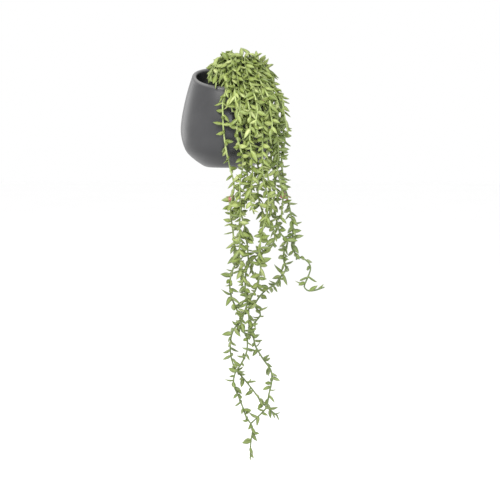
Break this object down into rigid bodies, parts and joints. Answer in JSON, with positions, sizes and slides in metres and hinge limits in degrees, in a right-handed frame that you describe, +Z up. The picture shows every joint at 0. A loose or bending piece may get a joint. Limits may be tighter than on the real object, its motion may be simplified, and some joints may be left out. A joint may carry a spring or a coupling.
{
  "type": "potted trailing succulent",
  "caption": "Wall-hung round-fronted pot with a flat back and slanted mouth, filled with soil and a trailing succulent of small fleshy leaves on long hanging stems.",
  "frame": {"origin": "on the pot's flat back, on its centre line, 75 mm above the base", "axes": "+Y out of the flat back into the wall, -Y towards the viewer, +Z up, +X to the right as seen from the front"},
  "size_m": [0.1989, 0.1309, 0.5604],
  "materials": {
    "pot_grey": "satin dark grey glaze",
    "soil_brown": null,
    "leaf_green": null
  },
  "bodies": {
    "root": {"pot": "pot_grey", "soil": "soil_brown", "strand_v1": "leaf_green", "strand_v2": "leaf_green", "strand_v3": "leaf_green", "strand_v4": "leaf_green", "strand_v5": "leaf_green", "strand_v6": "leaf_green", "strand_v7": "leaf_green", "strand_m3": "leaf_green", "strand_m4": "leaf_green", "strand_m6": "leaf_green", "strand_s1": "leaf_green", "strand_s2": "leaf_green", "strand_s3": "leaf_green", "strand_s4": "leaf_green", "strand_s5": "leaf_green", "strand_s6": "leaf_green", "strand_s7": "leaf_green", "strand_s8": "leaf_green", "crown_01": "leaf_green", "crown_02": "leaf_green", "crown_03": "leaf_green", "crown_04": "leaf_green", "crown_05": "leaf_green", "crown_06": "leaf_green", "crown_07": "leaf_green", "crown_08": "leaf_green", "crown_09": "leaf_green", "crown_10": "leaf_green", "crown_11": "leaf_green", "crown_12": "leaf_green", "crown_13": "leaf_green", "crown_14": "leaf_green", "crown_15": "leaf_green", "crown_16": "leaf_green", "crown_17": "leaf_green"}
  },
  "joints": []
}
